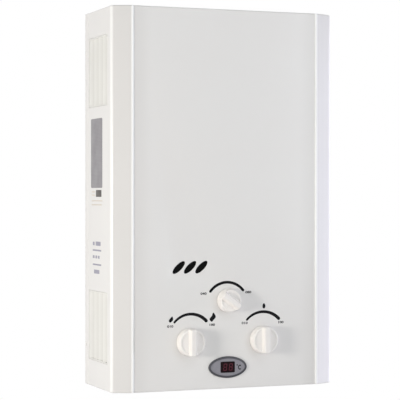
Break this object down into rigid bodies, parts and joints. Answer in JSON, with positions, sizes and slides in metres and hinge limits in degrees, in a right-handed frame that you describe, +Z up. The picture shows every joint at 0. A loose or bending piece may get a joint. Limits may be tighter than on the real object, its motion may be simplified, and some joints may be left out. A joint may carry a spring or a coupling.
{
  "type": "gas water heater",
  "caption": "Wall-hung gas water heater: white folded casing with slanted columns, side vents, sight holes, control knobs and an oval display.",
  "frame": {"origin": "middle of the lower edge of the back plate's wall face", "axes": "+Z up, +Y into the wall, +X to the right as seen from the front, which looks along -Y"},
  "size_m": [0.3482, 0.156, 0.561],
  "materials": {
    "white_enamel": "satin white baked enamel",
    "zinc_sheet": "galvanised sheet, dull",
    "white_plastic": "glossy warm white moulding",
    "grille_plastic": "fine satin white moulding",
    "grey_plastic": "satin grey moulding",
    "smoked_lens": "polished dark red lens",
    "sight_mica": "dark heat-proof glass",
    "black_plastic": "black moulding",
    "board": "green circuit board",
    "brass": "turned brass",
    "cast_alloy": "die-cast alloy",
    "steel": "plain steel",
    "copper": "drawn copper",
    "rubber": "black rubber",
    "ceramic": "glazed ceramic"
  },
  "bodies": {
    "case": {"front_cover": "white_enamel", "cover_screws": "white_enamel", "back_plate": "zinc_sheet", "top_plate": "zinc_sheet", "bottom_plate": "zinc_sheet", "switch_bracket": "zinc_sheet", "burner_frame": "zinc_sheet", "chamber_brackets": "zinc_sheet", "flue_hood": "zinc_sheet", "grille_left_low": "grille_plastic", "grille_left_high": "grille_plastic", "grille_right_low": "grille_plastic", "grille_right_high": "grille_plastic", "display_bezel": "grey_plastic", "display_window": "smoked_lens", "sight_glass": "sight_mica", "digit_module": "black_plastic", "microswitch": "black_plastic", "ignition_box": "black_plastic", "battery_box": "black_plastic", "overheat_cutout": "black_plastic", "display_board": "board", "gas_inlet": "brass", "cold_inlet": "brass", "hot_outlet": "brass", "water_valve": "brass", "diaphragm_cover": "brass", "gas_jets": "brass", "gas_valve": "cast_alloy", "gas_manifold": "cast_alloy", "gas_riser": "cast_alloy", "plate_screws": "steel", "diaphragm_screws": "steel", "burner_bars": "steel", "battery_contacts": "steel", "door_pin": "steel", "combustion_chamber": "copper", "chamber_coil": "copper", "fin_casing": "copper", "heat_fins": "copper", "exchanger_tubes": "copper", "cold_pipe": "copper", "hot_pipe": "copper", "diaphragm": "rubber", "pipe_grommets": "rubber", "leads": "rubber", "spark_electrode": "ceramic", "flame_sensor": "ceramic"},
    "season_control": {"season_knob": "white_plastic", "season_spindle": "brass"},
    "gas_control": {"gas_knob": "white_plastic", "gas_spindle": "brass"},
    "water_control": {"water_knob": "white_plastic", "water_spindle": "brass"},
    "door": {"battery_door": "white_plastic", "door_contact": "steel"},
    "drain": {"drain_plug": "white_plastic", "drain_seal": "rubber"},
    "rod": {"link_rod": "steel"},
    "lever": {"switch_lever": "steel"}
  },
  "joints": [
    {"name": "season_turn", "type": "hinge", "parent": "case", "child": "season_control", "pos_m": [0.0022, -0.138, 0.128], "axis": [0, 1, 0], "range_deg": [0, 108]},
    {"name": "gas_turn", "type": "hinge", "parent": "case", "child": "gas_control", "pos_m": [-0.057, -0.138, 0.0695], "axis": [0, 1, 0], "range_deg": [-54, 54]},
    {"name": "water_turn", "type": "hinge", "parent": "case", "child": "water_control", "pos_m": [0.057, -0.138, 0.0695], "axis": [0, 1, 0], "range_deg": [-54, 54]},
    {"name": "battery_door_hinge", "type": "hinge", "parent": "case", "child": "door", "pos_m": [0.12875, -0.079, 0.008], "axis": [1, 0, 0], "range_deg": [0, 95]},
    {"name": "drain_turn", "type": "hinge", "parent": "case", "child": "drain", "pos_m": [0.057, -0.08, 0], "axis": [0, 0, -1], "range_deg": [0, 360]},
    {"name": "rod_slide", "type": "slide", "parent": "case", "child": "rod", "axis": [-1, 0, 0], "range_m": [0, 0.004], "stiffness_N_per_m": 150},
    {"name": "lever_turn", "type": "hinge", "parent": "case", "child": "lever", "pos_m": [0.0033, -0.06, 0.0915], "axis": [0, 1, 0], "range_deg": [0, 16.5]}
  ],
  "couplings": [
    {"joint": "lever_turn", "follows": "rod_slide", "rad_per_m": 71.429}
  ]
}
